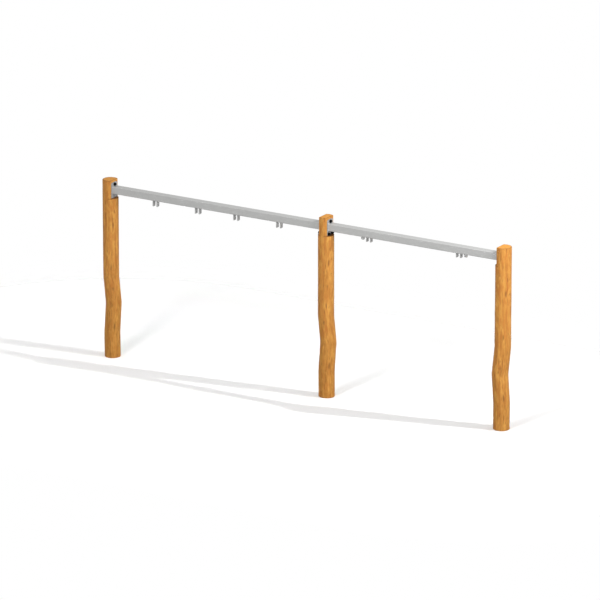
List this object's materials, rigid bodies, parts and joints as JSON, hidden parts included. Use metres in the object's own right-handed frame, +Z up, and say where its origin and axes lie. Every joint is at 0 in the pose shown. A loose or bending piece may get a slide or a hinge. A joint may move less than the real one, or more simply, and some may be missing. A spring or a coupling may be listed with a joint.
{
  "type": "swing set frame",
  "caption": "Playground swing frame: crooked round wooden posts joined by square steel beams, with hanger lugs for flat seats and a basket seat.",
  "frame": {"origin": "on the ground, below the middle of the frame's overall box", "axes": "+X along the beams towards the basket bay, +Y across the beams, +Z up"},
  "size_m": [6.265, 0.2288, 2.49],
  "materials": {
    "post_wood": "debarked hardwood log under a golden oil glaze, satin",
    "beam_steel": "hot-dip galvanised square tube, dull satin",
    "plate_steel": "hot-dip galvanised plate, dull satin",
    "hanger_steel": "hot-dip galvanised plate, dull satin, slightly darker",
    "fastener_zinc": "zinc plated, satin",
    "cap_plastic": "black polyamide, lightly glossy dome"
  },
  "bodies": {
    "root": {"post_left": "post_wood", "post_middle": "post_wood", "post_right": "post_wood", "beam_double": "beam_steel", "beam_basket": "beam_steel", "plate_left": "plate_steel", "plate_middle_left": "plate_steel", "plate_middle_right": "plate_steel", "plate_right": "plate_steel", "hanger_1_cheek_a": "hanger_steel", "hanger_1_cheek_b": "hanger_steel", "hanger_2_cheek_a": "hanger_steel", "hanger_2_cheek_b": "hanger_steel", "hanger_3_cheek_a": "hanger_steel", "hanger_3_cheek_b": "hanger_steel", "hanger_4_cheek_a": "hanger_steel", "hanger_4_cheek_b": "hanger_steel", "hanger_5_cheek_a": "hanger_steel", "hanger_5_cheek_b": "hanger_steel", "hanger_6_cheek_a": "hanger_steel", "hanger_6_cheek_b": "hanger_steel", "safety_eye_left": "hanger_steel", "safety_eye_right": "hanger_steel", "coach_screws": "fastener_zinc", "screw_washers": "fastener_zinc", "tie_rods": "fastener_zinc", "tie_nuts": "fastener_zinc", "tie_washers": "fastener_zinc", "cap_bases": "cap_plastic", "cap_lids": "cap_plastic"}
  },
  "joints": []
}
